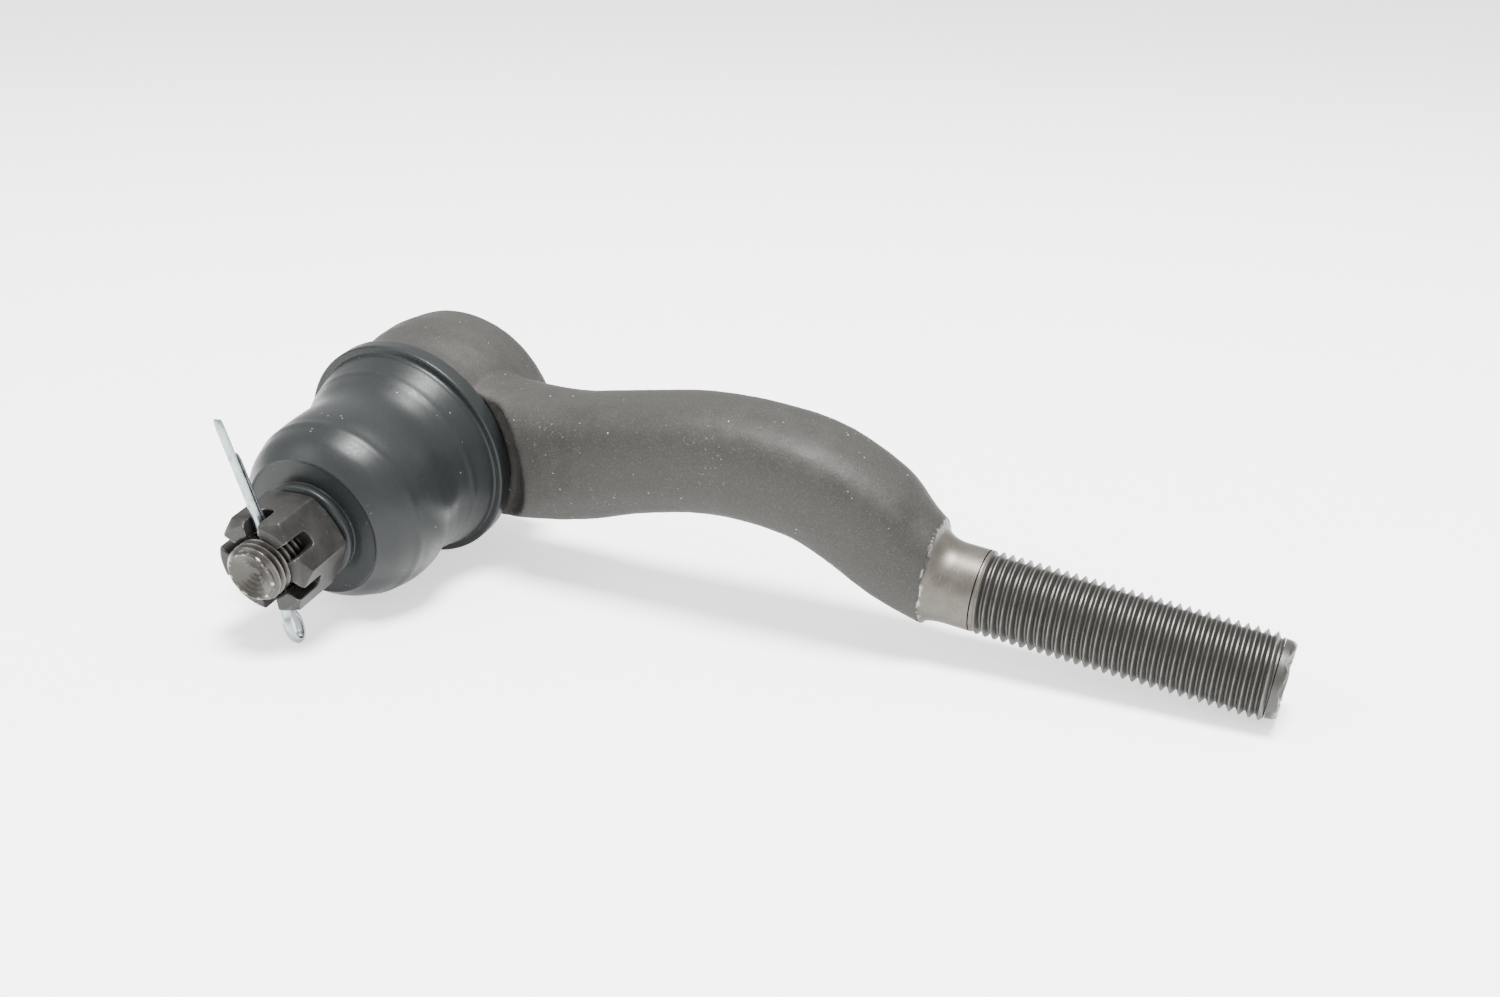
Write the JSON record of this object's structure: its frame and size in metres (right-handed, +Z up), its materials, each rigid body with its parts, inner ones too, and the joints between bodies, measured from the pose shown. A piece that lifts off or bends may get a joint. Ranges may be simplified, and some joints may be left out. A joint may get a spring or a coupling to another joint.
{
  "type": "tie rod end",
  "caption": "Outer tie rod end: forged socket with a bowed arm and threaded shank, ball stud that tilts and spins in a rubber boot, castle nut and cotter pin.",
  "frame": {"origin": "on the floor under the middle of the part as it lies on its boot and shank end", "axes": "+X along the part towards the threaded end, +Z up from the floor, the stud points along -Y and a little down"},
  "size_m": [0.1754, 0.0702, 0.0424],
  "materials": {
    "forged_steel": "matte",
    "stud_steel": "satin",
    "nut_steel": "satin",
    "zinc": "satin",
    "boot_rubber": "satin",
    "seat_plastic": "satin",
    "spring_steel": "satin",
    "cap_steel": "matte"
  },
  "bodies": {
    "housing": {"forged_housing_arm": "forged_steel", "socket_end_cap": "cap_steel", "boot_flange_ring": "cap_steel"},
    "boot_and_seats": {"upper_ball_seat": "seat_plastic", "lower_ball_seat": "seat_plastic", "preload_disc_spring": "spring_steel", "rubber_dust_boot": "boot_rubber"},
    "boot_neck": {"boot_neck_ring": "spring_steel"},
    "stud": {"ball_stud": "stud_steel", "castle_nut": "nut_steel", "cotter_pin": "zinc"}
  },
  "joints": [
    {"name": "stud_swing_direction", "type": "hinge", "parent": "housing", "child": "boot_and_seats", "pos_m": [-0.06715, 0.0182, 0.02185], "axis": [-0.0153, -0.9889, -0.1478], "continuous": true},
    {"name": "stud_tilt", "type": "hinge", "parent": "boot_and_seats", "child": "boot_neck", "pos_m": [-0.06715, 0.0182, 0.02185], "axis": [-0.1663, -0.1433, 0.9756], "range_deg": [-25, 19], "deforming": ["rubber_dust_boot"]},
    {"name": "stud_spin", "type": "hinge", "parent": "boot_neck", "child": "stud", "pos_m": [-0.06715, 0.0182, 0.02185], "axis": [0.0365, -0.9896, -0.1391], "continuous": true}
  ]
}
